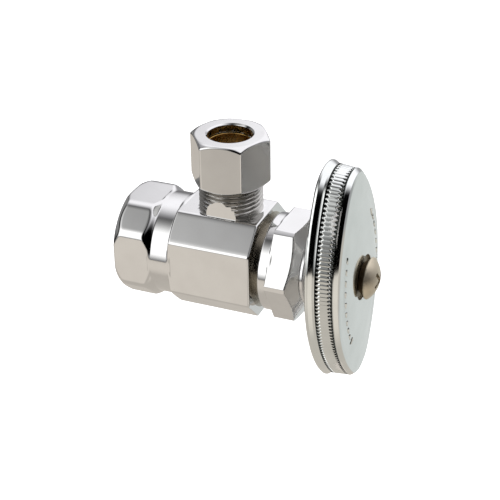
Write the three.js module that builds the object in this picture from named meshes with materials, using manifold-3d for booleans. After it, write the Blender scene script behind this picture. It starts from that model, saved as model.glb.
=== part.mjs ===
// Multi-turn angle stop valve: a 1/2 inch threaded inlet at the back, a 3/8 inch compression
// outlet on top, and an oval metal handle on a rising stem at the front.
// Millimetres. The origin is the centre of the inlet's mouth, +X runs along the body towards the
// handle, and +Z runs up along the outlet.
import * as THREE from "three";
import { mergeVertices } from "three/addons/utils/BufferGeometryUtils.js";
import Module from "manifold-3d";

const wasm = await Module();
wasm.setup();

// ---------------------------------------------------------------- driving dimensions
const GAP = 0.3; // between pieces that rest on each other
const THREAD_GAP = 0.25; // radial, between a male thread and its female thread
const ROUND = 30; // facets round a turned piece
const SCREW_FACETS = 20; // facets round one turn of a thread

// Body: one bar of square section with its four corners cut off at 45 degrees
const BODY_FLATS = 23.2;
const BODY_CORNER_CUT = 5.36;
const BODY_CORNER_R = 13.25; // turned radius that just clears the corners
const INLET_CHAMFER_R = 11.9;
const INLET_CHAMFER = 1.9;
const INLET_END_X = 7.24; // full section of the inlet's wrench octagon ends here
const WAIST_R = 11.75; // turned waist between the two octagons
const INLET_CONE = 1.9; // length of the cone from the inlet's corners down to the waist
const BLOCK_CONE = 0.5; // and of the one from the waist up to the block's corners
const BLOCK_X = 13.79; // full section of the block begins here
const BLOCK_END_X = 33.04;
const OUTLET_X = 24.3; // the outlet's axis

// Inlet: 1/2 inch taper pipe thread
const PIPE_PITCH = 1.814;
const PIPE_CREST_R = 9.25; // female thread's crest at the mouth
const PIPE_ROOT_R = 10.35; // female thread's root at the mouth
const PIPE_TAPER = 1 / 32; // radius lost per millimetre of depth
const PIPE_DEPTH = 12.5;

// Waterway and seat
const INLET_WAY_R = 6.6;
const SEAT_WALL_X = 17.3;
const SEAT_FLOOR_X = 20.3;
const SEAT_LIP_X = 20.9;
const SEAT_ORIFICE_R = 3.6;
const SEAT_LIP_R = 4.8;
const SEAT_POCKET_R = 6.2;
const CHAMBER_R = 7.1;
const CHAMBER_END_X = 31.0; // the female stem thread begins here

// Outlet boss: 9/16-24 compression thread
const BOSS_PITCH = 1.0583;
const BOSS_CREST_R = 7.14;
const BOSS_ROOT_R = 6.5;
const BOSS_TOP_Z = 23.0;
const BOSS_THREAD_Z = 12.6;
const BOSS_PAD_Y = 5.9; // the smooth pads on the boss's front and back stand this far out
const BOSS_PAD_HALF = 3.5; // half the pad's width, and the radius of its arched top
const BOSS_PAD_TOP_Z = 15.6;
const OUTLET_WAY_R = 4.0;
const TUBE_SOCKET_R = 4.9;
const TUBE_STOP_Z = 20.4;
const SLEEVE_SEAT_R = 5.95;

// Outlet nut and its compression sleeve
const NUT_FLATS = 15.875;
const NUT_BOTTOM_Z = 18.2;
const NUT_CORNER_R = 9.3; // just clears the corners
const NUT_BOTTOM_CHAMFER = 1.1;
const NUT_TOP_CHAMFER = 0.95;
const NUT_TOP_Z = 29.5;
const NUT_TURN = 7; // degrees that the nut stands turned about its axis
const NUT_BORE_R = 5.0;
const NUT_MOUTH_R = 5.25;
const SLEEVE_R = 5.65;
const SLEEVE_BORE_R = 4.85;
const SLEEVE_BOTTOM_Z = 22.1;
const SLEEVE_TOP_Z = 27.3;

// Bonnet thread on the body, bonnet nut, packing
const BONNET_PITCH = 1.27;
const BONNET_CREST_R = 9.4;
const BONNET_ROOT_R = 8.65;
const BONNET_THREAD_X = 34.9;
const BONNET_NECK_END_X = 38.6;
const BONNET_FLATS = 22.2;
const BONNET_COLLAR_R = 11.1;
const BONNET_COLLAR_X = 34.7;
const BONNET_HEX_X = 36.9;
const BONNET_CONE_X = 41.46; // the cone begins here at the hexagon's corners
const BONNET_CONE_END_X = 43.5;
const BONNET_NOSE_X = 44.3;
const BONNET_NOSE_R = 8.0;
const PACKING_R = 8.4;
const PACKING_END_X = 42.0;

// Stem
const STEM_PITCH = 1.5;
const STEM_CREST_R = 6.65;
const STEM_ROOT_R = 5.75;
const STEM_THREAD_X = 28.5;
const STEM_THREAD_END_X = 34.9;
const STEM_R = 3.6;
const STEM_CUP_R = 5.4;
const STEM_SPLINE_X = 44.1;
const STEM_END_X = 52.9;
const SPLINE_TEETH = 18;
const SPLINE_R = 3.4;
const SPLINE_DEPTH = 0.4;
const WASHER_X = 21.2;
const WASHER_END_X = 23.4;
const WASHER_R = 5.2;

// Handle: an oval wheel, its outline two wide arcs joined by two small end arcs
const HANDLE_HALF_WIDTH = 15.4;
const HANDLE_HALF_HEIGHT = 27.8;
const HANDLE_END_R = 8.5;
const HANDLE_LIP_ROUND = 0.7; // how far the back edge stands in from the lip's crest
const HANDLE_LIP_X = 47.5; // the full-width crest of the back lip
const HANDLE_LIP_END_X = 48.05;
const HANDLE_BAND_INSET = 0.6; // how far the rim's band is sunk behind the lip at its back
const HANDLE_DRAFT = 0.95; // and at its front
const HANDLE_FRONT_CHAMFER = 0.7; // radial depth of the chamfer in front of the band
const HANDLE_BAND_X = 49.1;
const HANDLE_BAND_END_X = 53.55;
const HANDLE_TILT = 8; // degrees about the stem, the top end leaning towards -Y
const HANDLE_BACK_X = 47.0;
const HANDLE_FRONT_X = 54.4;
const HANDLE_CROWN = 1.3; // how far the face's middle stands in front of its edge
const HANDLE_WALL = 2.2;
const HUB_R = 6.0;
const HUB_BACK_X = 45.0;
const SCREW_SEAT_R = 5.1;
const SCREW_SEAT_X = 55.0;
const SCREW_HEAD_R = 4.75;
const SCREW_DOME = 2.1; // height of the domed head above its edge
const SCREW_NECK_R = 3.4; // the head narrows to this at its seat
const SCREW_TIP_X = 59.2;

// ---------------------------------------------------------------- finishes
const finish = (color, roughness, metalness) =>
  new THREE.MeshStandardMaterial({ color, roughness, metalness });
const polishedChrome = finish(0xd6d6d4, 0.16, 1);
const castChrome = finish(0xcdd4d0, 0.24, 1);
const brass = finish(0xb8893c, 0.32, 1);
const nickelScrew = finish(0xaa9b82, 0.3, 1);
const rubber = finish(0x1d1d1e, 0.75, 0);
const graphite = finish(0x34363a, 0.65, 0);

// ---------------------------------------------------------------- solids
// A closed geometry as a solid, turned the right way out.
function solid(geometry) {
  const bare = new THREE.BufferGeometry();
  const source = geometry.index ? geometry.toNonIndexed() : geometry;
  bare.setAttribute("position", source.getAttribute("position").clone());
  const merged = mergeVertices(bare, 1e-4);
  const corners = merged.index.array;
  const points = merged.attributes.position;
  const p = [0, 1, 2].map(() => new THREE.Vector3());
  const kept = [];
  let volume = 0;
  for (let i = 0; i < corners.length; i += 3) {
    const [a, b, c] = corners.slice(i, i + 3);
    if (a === b || b === c || c === a) continue;
    [a, b, c].forEach((corner, k) => p[k].fromBufferAttribute(points, corner));
    volume += p[0].dot(p[1].cross(p[2]));
    kept.push(a, b, c);
  }
  const triVerts = Uint32Array.from(kept);
  if (volume < 0) triVerts.reverse();
  const vertProperties = Float32Array.from(points.array);
  return new wasm.Manifold(new wasm.Mesh({ numProp: 3, vertProperties, triVerts }));
}

function geometryOf(manifold) {
  const mesh = manifold.getMesh();
  const geometry = new THREE.BufferGeometry();
  geometry.setAttribute("position", new THREE.BufferAttribute(mesh.vertProperties, 3));
  geometry.setIndex(new THREE.BufferAttribute(mesh.triVerts, 1));
  geometry.computeVertexNormals();
  return geometry;
}

// Turns a geometry whose own axis is +Z onto the body's axis, +X; its own +X becomes +Y.
const alongX = (geometry) =>
  geometry.applyMatrix4(
    new THREE.Matrix4().makeBasis(
      new THREE.Vector3(0, 1, 0),
      new THREE.Vector3(0, 0, 1),
      new THREE.Vector3(1, 0, 0),
    ),
  );

// A turned piece about +Z from [radius, height] pairs that start and end on the axis or close.
function turned(profile, facets = ROUND) {
  const points = profile.map(([radius, height]) => new THREE.Vector2(radius, height));
  return new THREE.LatheGeometry(points, facets).rotateX(Math.PI / 2);
}

// A turned ring: the profile's last point is joined back to its first.
const turnedRing = (profile, facets = ROUND) => turned([...profile, profile[0]], facets);

// A plain turned rod or hole between two heights.
const rod = (radius, low, high, facets = ROUND) =>
  turned([[0, low], [radius, low], [radius, high], [0, high]], facets);

// A straight prism along +Z from outline points.
function prism(outline, low, high) {
  const shape = new THREE.Shape(outline.map(([x, y]) => new THREE.Vector2(x, y)));
  const geometry = new THREE.ExtrudeGeometry(shape, { depth: high - low, bevelEnabled: false });
  return geometry.translate(0, 0, low);
}

function hexagon(flats, turn) {
  const radius = flats / Math.sqrt(3);
  const corner = (k) => THREE.MathUtils.degToRad(turn + 60 * k);
  return [0, 1, 2, 3, 4, 5].map((k) => [
    radius * Math.cos(corner(k)),
    radius * Math.sin(corner(k)),
  ]);
}

// The body's section: a square whose corners are cut off at 45 degrees.
function bodySection() {
  const half = BODY_FLATS / 2;
  const cut = half - BODY_CORNER_CUT;
  return [
    [half, -cut], [half, cut], [cut, half], [-cut, half],
    [-half, cut], [-half, -cut], [-cut, -half], [cut, -half],
  ];
}

// A right-hand screw about +Z that covers low to high and more. Its phase depends only on its
// pitch, so a male and a female thread made with one pitch are in mesh.
function screw({ root, crest, pitch, low, high, taper = 0, facets = SCREW_FACETS }) {
  const steps = [[0, root], [0.5, crest]]; // [share of the pitch, radius]
  const first = Math.floor(low / pitch) - 2;
  const rows = steps.length * (Math.ceil(high / pitch) - first);
  const vertex = (row, column) => {
    const [share, radius] = steps[row % steps.length];
    const turns = first + Math.floor(row / steps.length) + share + column / facets;
    const angle = (2 * Math.PI * column) / facets;
    const r = radius - taper * turns * pitch;
    return [r * Math.cos(angle), r * Math.sin(angle), turns * pitch];
  };
  const corners = [];
  for (let row = 0; row < rows; row++) {
    for (let column = 0; column < facets; column++) {
      const [a, b] = [vertex(row, column), vertex(row, column + 1)];
      const [c, d] = [vertex(row + 1, column + 1), vertex(row + 1, column)];
      corners.push(a, b, c, a, c, d);
    }
  }
  // Each end is a ramp of one turn and the step where the ramp meets itself.
  const close = (loop, centre, flipped) => {
    loop.forEach((point, k) => {
      const next = loop[(k + 1) % loop.length];
      corners.push(centre, ...(flipped ? [next, point] : [point, next]));
    });
  };
  const bottom = [];
  const top = [];
  for (let column = 0; column <= facets; column++) {
    bottom.push(vertex(0, column));
    top.push(vertex(rows, column));
  }
  for (let row = steps.length - 1; row > 0; row--) bottom.push(vertex(row, 0));
  for (let k = 1; k < steps.length; k++) top.push(vertex(rows - k, facets));
  close(bottom, [0, 0, vertex(0, 0)[2]], true);
  close(top, [0, 0, vertex(rows, facets)[2]], false);
  const geometry = new THREE.BufferGeometry();
  geometry.setAttribute("position", new THREE.Float32BufferAttribute(corners.flat(), 3));
  return geometry;
}

// A threaded rod from low to high, its two ends chamfered down to the thread's root.
function threadedRod(thread, low, high) {
  const { root, crest } = thread;
  const outer = crest + 1;
  const chamfer = outer - root;
  const blank = turned([
    [0, low], [root, low], [outer, low + chamfer], [outer, high - chamfer], [root, high], [0, high],
  ]);
  return solid(screw({ ...thread, low, high })).intersect(solid(blank));
}

// The tap that cuts the female thread for a male one.
const tapFor = (thread) => ({
  ...thread,
  root: thread.root + THREAD_GAP,
  crest: thread.crest + THREAD_GAP,
});

const placeX = (manifold) => solid(alongX(geometryOf(manifold)));

const bossThread = { root: BOSS_ROOT_R, crest: BOSS_CREST_R, pitch: BOSS_PITCH };
const bonnetThread = { root: BONNET_ROOT_R, crest: BONNET_CREST_R, pitch: BONNET_PITCH };
const stemThread = { root: STEM_ROOT_R, crest: STEM_CREST_R, pitch: STEM_PITCH };

// ---------------------------------------------------------------- pieces
const valve = new THREE.Group();

function addPiece(name, geometry, material) {
  const mesh = new THREE.Mesh(geometry, material);
  mesh.name = name;
  valve.add(mesh);
}

// The body's outside: two octagons with coned corners, the turned waist, and the bonnet neck.
function bodyOutside() {
  const inletEnd = INLET_END_X + INLET_CONE;
  const inletBlank = turned([
    [0, 0], [INLET_CHAMFER_R, 0], [BODY_CORNER_R, INLET_CHAMFER],
    [BODY_CORNER_R, INLET_END_X], [WAIST_R, inletEnd], [0, inletEnd],
  ]);
  const blockStart = BLOCK_X - BLOCK_CONE;
  const blockBlank = turned([
    [0, blockStart], [WAIST_R, blockStart], [BODY_CORNER_R, BLOCK_X],
    [BODY_CORNER_R, BLOCK_END_X - 0.2], [BODY_CORNER_R - 0.2, BLOCK_END_X], [0, BLOCK_END_X],
  ]);
  const bar = solid(prism(bodySection(), -1, BLOCK_END_X + 1));
  const waist = solid(rod(WAIST_R, inletEnd - 0.4, blockStart + 0.4));
  const neck = threadedRod(bonnetThread, BONNET_THREAD_X, BONNET_NECK_END_X);
  const relief = solid(rod(BONNET_ROOT_R - 0.1, BLOCK_END_X - 1, BONNET_THREAD_X + 0.5));
  return bar
    .intersect(solid(inletBlank).add(solid(blockBlank)))
    .add(waist)
    .add(relief)
    .add(neck);
}

// The arched outline of the boss's pads, swept along Y from `near` to `far`.
function bossPad(near, far) {
  const springZ = BOSS_PAD_TOP_Z - BOSS_PAD_HALF;
  const outline = [[-BOSS_PAD_HALF, BODY_FLATS / 2 - 1]];
  for (let degrees = 180; degrees >= 0; degrees -= 20) {
    const angle = THREE.MathUtils.degToRad(degrees);
    outline.push([
      BOSS_PAD_HALF * Math.cos(angle),
      springZ + BOSS_PAD_HALF * Math.sin(angle),
    ]);
  }
  outline.push([BOSS_PAD_HALF, BODY_FLATS / 2 - 1]);
  return solid(prism(outline, near, far).rotateX(Math.PI / 2));
}

// The outlet boss, with a smooth arched pad in place of its thread on the front and the back.
function outletBoss() {
  const root = solid(rod(BOSS_ROOT_R - 0.05, 5, BOSS_THREAD_Z + 1));
  const foot = solid(rod(BOSS_CREST_R, 5, BOSS_THREAD_Z - 0.7));
  return root
    .add(foot)
    .add(threadedRod(bossThread, BOSS_THREAD_Z, BOSS_TOP_Z))
    .subtract(bossPad(BOSS_PAD_Y, BOSS_PAD_Y + 2))
    .subtract(bossPad(-BOSS_PAD_Y - 2, -BOSS_PAD_Y))
    .add(bossPad(-BOSS_PAD_Y, BOSS_PAD_Y))
    .translate([OUTLET_X, 0, 0]);
}

// Everything that is cut out of the body: inlet thread, seat, chamber, stem thread, outlet way.
function bodyWaterway() {
  const pipeTap = screw({
    root: PIPE_CREST_R, crest: PIPE_ROOT_R, pitch: PIPE_PITCH,
    low: -2, high: PIPE_DEPTH, taper: PIPE_TAPER,
  });
  const pipeLimit = rod(PIPE_ROOT_R + 1, -1, PIPE_DEPTH);
  const mouth = turned([
    [0, -1], [PIPE_ROOT_R + 1.1, -1], [PIPE_ROOT_R - 0.9, 1], [0, 1],
  ]);
  const inlet = solid(pipeTap).intersect(solid(pipeLimit)).add(solid(mouth));
  const way = turned([
    [0, 5], [8.3, 5], [8.3, PIPE_DEPTH + 1.5], [INLET_WAY_R, PIPE_DEPTH + 3],
    [INLET_WAY_R, SEAT_WALL_X - 0.8], [SEAT_ORIFICE_R + 1, SEAT_WALL_X],
    [SEAT_ORIFICE_R, SEAT_WALL_X + 0.6], [SEAT_ORIFICE_R, SEAT_FLOOR_X + 1],
    [0, SEAT_FLOOR_X + 1],
  ]);
  const tap = tapFor(stemThread);
  const stemBoreR = tap.root + 0.02;
  const chamber = turned([
    [0, SEAT_LIP_X], [SEAT_LIP_R, SEAT_LIP_X], [SEAT_LIP_R + 0.15, SEAT_FLOOR_X],
    [SEAT_POCKET_R, SEAT_FLOOR_X], [SEAT_POCKET_R, SEAT_LIP_X], [CHAMBER_R, SEAT_LIP_X + 1],
    [CHAMBER_R, CHAMBER_END_X - 0.6], [stemBoreR, CHAMBER_END_X],
    [stemBoreR, BONNET_NECK_END_X + 1], [0, BONNET_NECK_END_X + 1],
  ]);
  const stemTap = solid(
    screw({ ...tap, low: CHAMBER_END_X, high: BONNET_NECK_END_X + 1 }),
  ).intersect(solid(rod(tap.crest + 1, CHAMBER_END_X - 0.3, BONNET_NECK_END_X + 1)));
  const outlet = turned([
    [0, 0], [OUTLET_WAY_R, 0], [OUTLET_WAY_R, TUBE_STOP_Z], [TUBE_SOCKET_R, TUBE_STOP_Z],
    [TUBE_SOCKET_R, BOSS_TOP_Z - 1.3], [SLEEVE_SEAT_R, BOSS_TOP_Z],
    [SLEEVE_SEAT_R, BOSS_TOP_Z + 1], [0, BOSS_TOP_Z + 1],
  ]);
  return placeX(inlet.add(solid(way)).add(solid(chamber)).add(stemTap)).add(
    solid(outlet).translate([OUTLET_X, 0, 0]),
  );
}

function valveBody() {
  return placeX(bodyOutside()).add(outletBoss()).subtract(bodyWaterway());
}

function outletNut() {
  const hex = solid(prism(hexagon(NUT_FLATS, NUT_TURN), NUT_BOTTOM_Z, NUT_TOP_Z));
  const half = NUT_FLATS / 2;
  const blank = turned([
    [0, NUT_BOTTOM_Z], [half - 0.35, NUT_BOTTOM_Z],
    [NUT_CORNER_R, NUT_BOTTOM_Z + NUT_BOTTOM_CHAMFER],
    [NUT_CORNER_R, NUT_TOP_Z - NUT_TOP_CHAMFER], [half, NUT_TOP_Z], [0, NUT_TOP_Z],
  ]);
  const shoulderZ = SLEEVE_TOP_Z + GAP;
  const threadTop = shoulderZ - 1.6;
  const tap = tapFor(bossThread);
  const thread = solid(screw({ ...tap, low: NUT_BOTTOM_Z - 1, high: threadTop })).intersect(
    solid(rod(tap.crest + 1, NUT_BOTTOM_Z - 1, threadTop)),
  );
  const bore = turned([
    [0, NUT_BOTTOM_Z - 1], [tap.crest + 0.9, NUT_BOTTOM_Z - 1], [tap.root, NUT_BOTTOM_Z + 0.6],
    [tap.root, threadTop], [NUT_BORE_R, shoulderZ], [NUT_BORE_R, NUT_TOP_Z - 0.35],
    [NUT_MOUTH_R + 0.1, NUT_TOP_Z + 0.1], [NUT_MOUTH_R + 0.1, NUT_TOP_Z + 1], [0, NUT_TOP_Z + 1],
  ]);
  return hex
    .intersect(solid(blank))
    .subtract(thread.add(solid(bore)))
    .translate([OUTLET_X, 0, 0]);
}

function ferrule() {
  const crownZ = SLEEVE_BOTTOM_Z + 2.4;
  const ring = turnedRing([
    [SLEEVE_BORE_R, SLEEVE_BOTTOM_Z], [SLEEVE_BORE_R + 0.3, SLEEVE_BOTTOM_Z],
    [SLEEVE_R, crownZ - 1], [SLEEVE_R, crownZ + 1],
    [SLEEVE_BORE_R + 0.3, SLEEVE_TOP_Z], [SLEEVE_BORE_R, SLEEVE_TOP_Z],
  ]);
  return ring.translate(OUTLET_X, 0, 0);
}

function bonnetNut() {
  const cornerR = BONNET_FLATS / Math.sqrt(3) + 0.1;
  const hex = solid(prism(hexagon(BONNET_FLATS, 0), BONNET_HEX_X, BONNET_NOSE_X));
  const blank = turned([
    [0, BONNET_HEX_X], [cornerR, BONNET_HEX_X], [cornerR, BONNET_CONE_X],
    [BONNET_NOSE_R, BONNET_CONE_END_X], [BONNET_NOSE_R, BONNET_NOSE_X - 0.2],
    [BONNET_NOSE_R - 0.2, BONNET_NOSE_X], [0, BONNET_NOSE_X],
  ]);
  const collar = rod(BONNET_COLLAR_R, BONNET_COLLAR_X, BONNET_HEX_X + 0.5);
  const packingTopR = PACKING_R - 1.6;
  const innerEnd = PACKING_END_X + GAP;
  const tap = tapFor(bonnetThread);
  const threadEnd = BONNET_NECK_END_X + GAP;
  const thread = solid(screw({ ...tap, low: BONNET_COLLAR_X - 1, high: threadEnd })).intersect(
    solid(rod(tap.crest + 1, BONNET_COLLAR_X - 1, threadEnd)),
  );
  const bore = turned([
    [0, BONNET_COLLAR_X - 1], [tap.crest + 1.1, BONNET_COLLAR_X - 1],
    [tap.root, BONNET_COLLAR_X + 0.6], [tap.root, BONNET_NECK_END_X + 1.8],
    [PACKING_R + GAP, BONNET_NECK_END_X + 2], [PACKING_R + GAP, PACKING_END_X - 0.8],
    [packingTopR + GAP, innerEnd], [STEM_R + 0.6, innerEnd],
    [STEM_R + 0.6, BONNET_NOSE_X + 1], [0, BONNET_NOSE_X + 1],
  ]);
  return placeX(
    hex.intersect(solid(blank)).add(solid(collar)).subtract(thread.add(solid(bore))),
  );
}

function frictionRing() {
  const low = BONNET_NECK_END_X + GAP;
  const high = low + 0.8;
  const outer = BONNET_ROOT_R - 0.2;
  return alongX(turnedRing([[STEM_R + GAP, low], [outer, low], [outer, high], [STEM_R + GAP, high]]));
}

function stemPacking() {
  const low = BONNET_NECK_END_X + 2 * GAP + 0.8;
  return alongX(
    turnedRing([
      [STEM_R + GAP, low], [PACKING_R, low], [PACKING_R, PACKING_END_X - 1],
      [PACKING_R - 1.6, PACKING_END_X], [STEM_R + GAP, PACKING_END_X],
    ]),
  );
}

// A star outline for the splined end, grown by `extra` for the hole that fits over it.
function splineOutline(extra) {
  const outline = [];
  for (let k = 0; k < 4 * SPLINE_TEETH; k++) {
    const radius = SPLINE_R + extra - (k % 4 < 2 ? 0 : SPLINE_DEPTH);
    const angle = (2 * Math.PI * k) / (4 * SPLINE_TEETH) + THREE.MathUtils.degToRad(HANDLE_TILT);
    outline.push([radius * Math.cos(angle), radius * Math.sin(angle)]);
  }
  return outline;
}

function stem() {
  const cupFloor = WASHER_END_X + GAP;
  const shaft = turned([
    [0, cupFloor], [STEM_CUP_R, cupFloor], [STEM_CUP_R, cupFloor + 1.6],
    [STEM_R + 0.6, cupFloor + 2.4], [STEM_R + 0.6, STEM_THREAD_X + 0.5],
    [STEM_R, STEM_THREAD_END_X - 0.5], [STEM_R, STEM_SPLINE_X], [SPLINE_R - 0.6, STEM_SPLINE_X + 0.6],
    [0, STEM_SPLINE_X + 0.6],
  ]);
  const thread = threadedRod(stemThread, STEM_THREAD_X, STEM_THREAD_END_X);
  const splines = prism(splineOutline(0), STEM_SPLINE_X + 0.3, STEM_END_X);
  const washerScrewHole = rod(1.3 + GAP, cupFloor - 1, cupFloor + 4.5, 24);
  const handleScrewHole = rod(1.5 + GAP, STEM_END_X - 8, STEM_END_X + 1, 24);
  return placeX(
    solid(shaft)
      .add(thread)
      .add(solid(splines))
      .subtract(solid(washerScrewHole).add(solid(handleScrewHole))),
  );
}

function seatWasher() {
  const bore = 1.3 + GAP;
  return alongX(
    turnedRing([
      [bore, WASHER_X], [WASHER_R - 0.4, WASHER_X], [WASHER_R, WASHER_X + 0.4],
      [WASHER_R, WASHER_END_X], [bore, WASHER_END_X],
    ]),
  );
}

function seatWasherScrew() {
  const headBase = WASHER_X - GAP;
  const blank = turned([
    [0, headBase - 1.3], [1.5, headBase - 1.3], [2.4, headBase - 0.6], [2.4, headBase],
    [1.3, headBase], [1.3, WASHER_END_X + 3.6], [0.8, WASHER_END_X + 4.1], [0, WASHER_END_X + 4.1],
  ], 32);
  const slot = new THREE.BoxGeometry(6, 0.7, 1.2).translate(0, 0, headBase - 1.3);
  return placeX(solid(blank).subtract(solid(slot)));
}

// One ring of the handle: a point of its outline for each step round, moved inwards by `inset`
// and shrunk to `scale` of its size, or a plain circle of radius `circle`.
function handleRing({ inset = 0, circle = 0, scale = 1, x }, steps) {
  const endR = HANDLE_END_R;
  const reach = HANDLE_HALF_HEIGHT - endR; // height of the end arc's centre
  const sideR =
    (HANDLE_HALF_WIDTH ** 2 + reach ** 2 - endR ** 2) / (2 * (HANDLE_HALF_WIDTH - endR));
  const sideCentre = sideR - HANDLE_HALF_WIDTH;
  const joint = Math.atan2(reach, sideCentre); // angle of the side arc where the end arc begins
  const quarterTurn = Math.PI / 2;
  const sideShare = 0.6; // of a quarter's steps, the rest follow the end arc
  return Array.from({ length: steps }, (_, k) => {
    const turn = (2 * Math.PI * k) / steps;
    const [cos, sin] = [Math.cos(turn), Math.sin(turn)];
    if (circle) return [circle * cos, circle * sin, x];
    const share = Math.atan2(Math.abs(sin), Math.abs(cos)) / quarterTurn;
    const onSide = share <= sideShare;
    const angle = onSide
      ? (share / sideShare) * joint
      : joint + ((share - sideShare) / (1 - sideShare)) * (quarterTurn - joint);
    const radius = (onSide ? sideR : endR) - inset;
    const y = radius * Math.cos(angle) - (onSide ? sideCentre : 0);
    const z = radius * Math.sin(angle) + (onSide ? 0 : reach);
    return [(Math.sign(cos) || 1) * y * scale, (Math.sign(sin) || 1) * z * scale, x];
  });
}

// The handle's cast shell: hub, hollow back, rim with two chamfers, and a crowned face.
function handleShell() {
  const steps = 52;
  const faceX = HANDLE_FRONT_X;
  const floorX = faceX - HANDLE_WALL;
  const rings = [
    { circle: HUB_R - 0.4, x: HUB_BACK_X },
    { circle: HUB_R, x: HUB_BACK_X + 0.4 },
    { circle: HUB_R, x: floorX },
    { inset: HANDLE_WALL + 0.8, x: floorX - 0.4 },
    { inset: HANDLE_WALL, x: floorX - 1.4 },
    { inset: HANDLE_WALL - 0.4, x: HANDLE_BACK_X + 0.3 },
    { inset: HANDLE_LIP_ROUND + 0.3, x: HANDLE_BACK_X },
    { inset: HANDLE_LIP_ROUND, x: HANDLE_BACK_X + 0.1 },
    { inset: 0, x: HANDLE_LIP_X },
    { inset: 0, x: HANDLE_LIP_END_X },
    { inset: HANDLE_BAND_INSET, x: HANDLE_BAND_X },
    { inset: HANDLE_DRAFT, x: HANDLE_BAND_END_X },
    { inset: HANDLE_DRAFT + HANDLE_FRONT_CHAMFER, x: faceX - 0.05 },
    { inset: HANDLE_DRAFT + 1.5, x: faceX + 0.2 },
    { scale: 0.7, x: faceX + HANDLE_CROWN * 0.6 },
    { circle: SCREW_SEAT_R + 1, x: faceX + HANDLE_CROWN * 0.97 },
  ].map((ring) => handleRing(ring, steps));
  const corners = [];
  const cap = (ring, x, flipped) => {
    ring.forEach((point, k) => {
      const next = ring[(k + 1) % steps];
      corners.push([0, 0, x], ...(flipped ? [next, point] : [point, next]));
    });
  };
  cap(rings[0], HUB_BACK_X, true);
  for (let row = 0; row + 1 < rings.length; row++) {
    for (let k = 0; k < steps; k++) {
      const next = (k + 1) % steps;
      const [a, b] = [rings[row][k], rings[row][next]];
      const [c, d] = [rings[row + 1][next], rings[row + 1][k]];
      corners.push(a, b, c, a, c, d);
    }
  }
  cap(rings.at(-1), faceX + HANDLE_CROWN, false);
  const geometry = new THREE.BufferGeometry();
  geometry.setAttribute("position", new THREE.Float32BufferAttribute(corners.flat(), 3));
  return geometry;
}

function handle() {
  const ribX = HANDLE_BACK_X + 2.6;
  const ribDepth = HANDLE_FRONT_X - 1 - ribX;
  const rib = (width, height) =>
    solid(new THREE.BoxGeometry(width, height, ribDepth).translate(0, 0, ribX + ribDepth / 2));
  const holes = solid(rod(SCREW_SEAT_R, SCREW_SEAT_X, SCREW_TIP_X)).add(
    solid(rod(1.5 + GAP, HUB_BACK_X, SCREW_TIP_X, 24)),
  );
  const socket = prism(splineOutline(GAP), HUB_BACK_X - 1, STEM_END_X + GAP);
  const wheel = solid(handleShell().rotateZ(THREE.MathUtils.degToRad(HANDLE_TILT)));
  const ribs = rib(2 * HANDLE_HALF_WIDTH - 3, 1.4)
    .add(rib(1.4, 2 * HANDLE_HALF_HEIGHT - 3))
    .rotate([0, 0, HANDLE_TILT]);
  return placeX(wheel.add(ribs).subtract(holes.add(solid(socket))));
}

function handleScrew() {
  const seat = SCREW_SEAT_X + GAP;
  const edge = SCREW_TIP_X - SCREW_DOME;
  const domeR = (SCREW_HEAD_R ** 2 + SCREW_DOME ** 2) / (2 * SCREW_DOME);
  const dome = [1, 2, 3, 4, 5].map((k) => {
    const angle = (Math.asin(SCREW_HEAD_R / domeR) * (5 - k)) / 5;
    return [domeR * Math.sin(angle), SCREW_TIP_X - domeR + domeR * Math.cos(angle)];
  });
  const blank = turned([
    [0, STEM_END_X - 6.6], [1.1, STEM_END_X - 6.6], [1.5, STEM_END_X - 6], [1.5, seat],
    [SCREW_NECK_R, seat], [SCREW_HEAD_R - 0.1, edge - 0.3], [SCREW_HEAD_R, edge], ...dome,
  ]);
  const arm = (width, height) =>
    solid(new THREE.BoxGeometry(width, height, 3).translate(0, 0, SCREW_TIP_X));
  const cross = arm(4.4, 0.9).add(arm(0.9, 4.4)).rotate([0, 0, 30]);
  return placeX(solid(blank).subtract(cross));
}

addPiece("valve_body", geometryOf(valveBody()), polishedChrome);
addPiece("outlet_nut", geometryOf(outletNut()), polishedChrome);
addPiece("ferrule", ferrule(), brass);
addPiece("bonnet_nut", geometryOf(bonnetNut()), polishedChrome);
addPiece("friction_ring", frictionRing(), brass);
addPiece("stem_packing", stemPacking(), graphite);
addPiece("stem", geometryOf(stem()), brass);
addPiece("seat_washer", seatWasher(), rubber);
addPiece("seat_washer_screw", geometryOf(seatWasherScrew()), brass);
addPiece("handle", geometryOf(handle()), castChrome);
addPiece("handle_screw", geometryOf(handleScrew()), nickelScrew);

export default valve;
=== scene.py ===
"""Angle stop valve: chrome body with a threaded inlet, a compression outlet and an oval handle.

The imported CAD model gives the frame, in metres: +X along the body and the stem to the handle,
+Z up along the outlet. Lengths below are in millimetres until a mesh is made.
"""

import math

import bpy
import numpy as np
from mathutils import Matrix, Vector


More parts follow.
